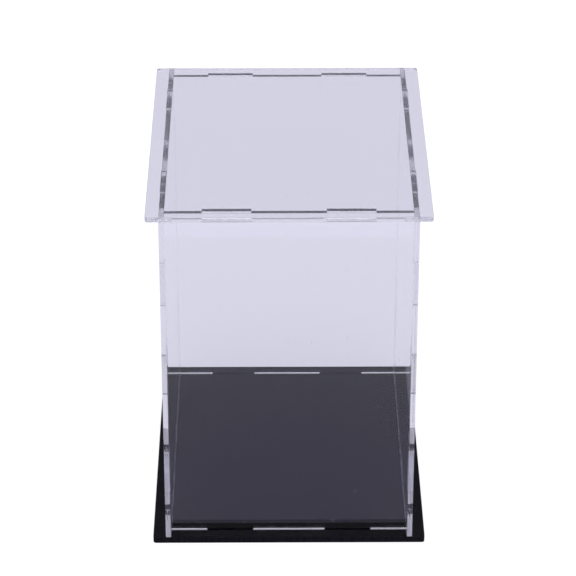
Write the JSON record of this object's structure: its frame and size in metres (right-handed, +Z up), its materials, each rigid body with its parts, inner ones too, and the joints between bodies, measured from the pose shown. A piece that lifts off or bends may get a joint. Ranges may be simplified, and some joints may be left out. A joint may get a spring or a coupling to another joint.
{
  "type": "display case",
  "caption": "Tall clear display case on a black base: flat sheets that lock with tabs and slots, with a lift-off lid and hood.",
  "frame": {"origin": "centre of the base plate's underside, on the surface that the case stands on", "axes": "+Z up, the case's longest side; +X to the right seen from the front, its shortest side; +Y to the back"},
  "size_m": [0.16, 0.2, 0.216],
  "materials": {
    "clear_acrylic": "clear, polished faces with laser-cut edges",
    "black_acrylic": "black gloss"
  },
  "bodies": {
    "base": {"base_plate": "black_acrylic"},
    "hood": {"front_panel": "clear_acrylic", "back_panel": "clear_acrylic", "left_panel": "clear_acrylic", "right_panel": "clear_acrylic"},
    "lid": {"top_plate": "clear_acrylic"}
  },
  "joints": [
    {"name": "hood_lift", "type": "slide", "parent": "base", "child": "hood", "axis": [0, 0, 1], "range_m": [0, 0.22]},
    {"name": "lid_lift", "type": "slide", "parent": "hood", "child": "lid", "axis": [0, 0, 1], "range_m": [0, 0.1]}
  ]
}
